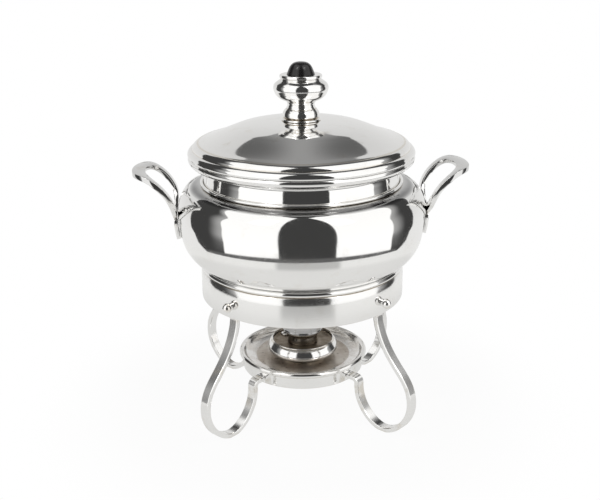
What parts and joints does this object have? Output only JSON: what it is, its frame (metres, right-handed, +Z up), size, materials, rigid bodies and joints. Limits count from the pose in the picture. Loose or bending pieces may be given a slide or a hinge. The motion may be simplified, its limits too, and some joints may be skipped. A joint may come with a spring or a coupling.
{
  "type": "sauce boat warmer",
  "caption": "Round lidded sauce bowl with loop handles and turned finial, resting on a banded stand with strap legs, over a spirit burner in a drip tray.",
  "frame": {"origin": "on the table, on the axis of the bowl, lid and stand", "axes": "+Z up; the two handles lie along X, with +X to the right as seen from the front (-Y); the legs stand on the diagonals"},
  "size_m": [0.1748, 0.1292, 0.1888],
  "materials": {
    "silver": "polished silver with fine wear",
    "satin_silver": "satin silver, worn and slightly tarnished",
    "heated_silver": "silver browned by heat",
    "black_button": "glossy black composition",
    "cotton_wick": "twisted cotton, singed at the tip"
  },
  "bodies": {
    "stand": {"stand_band": "silver", "band_wire": "silver", "burner_ring": "silver", "leg_back_right": "silver", "leg_back_left": "silver", "leg_front_left": "silver", "leg_front_right": "silver", "bolt_back_right": "satin_silver", "bolt_back_left": "satin_silver", "bolt_front_left": "satin_silver", "bolt_front_right": "satin_silver", "ball_nut_back_right": "silver", "ball_nut_back_left": "silver", "ball_nut_front_left": "silver", "ball_nut_front_right": "silver"},
    "tray": {"drip_tray": "satin_silver"},
    "burner": {"burner_body": "silver", "burner_plate": "heated_silver", "filler_ferrule": "silver", "wick_tube": "satin_silver", "wick_collar": "heated_silver", "wick": "cotton_wick"},
    "snuffer": {"snuffer_cap": "silver", "snuffer_thumb": "silver"},
    "bowl": {"bowl_shell": "silver", "neck_bead": "silver", "handle_right": "silver", "mount_right": "silver", "handle_left": "silver", "mount_left": "silver"},
    "lid": {"lid_shell": "silver", "lid_bezel": "silver", "finial_foot": "silver", "finial_stem": "silver", "finial_bezel": "silver", "finial_button": "black_button", "finial_washer": "satin_silver", "finial_nut": "satin_silver"}
  },
  "joints": [
    {"name": "bowl_lift", "type": "slide", "parent": "stand", "child": "bowl", "axis": [0, 0, 1], "range_m": [0, 0.08]},
    {"name": "lid_lift", "type": "slide", "parent": "bowl", "child": "lid", "axis": [0, 0, 1], "range_m": [0, 0.06]},
    {"name": "tray_lift", "type": "slide", "parent": "stand", "child": "tray", "axis": [0, 0, 1], "range_m": [0, 0.006]},
    {"name": "burner_lift", "type": "slide", "parent": "tray", "child": "burner", "axis": [0, 0, 1], "range_m": [0, 0.006]},
    {"name": "snuffer_lift", "type": "slide", "parent": "burner", "child": "snuffer", "axis": [0, 0, 1], "range_m": [0, 0.009]}
  ]
}
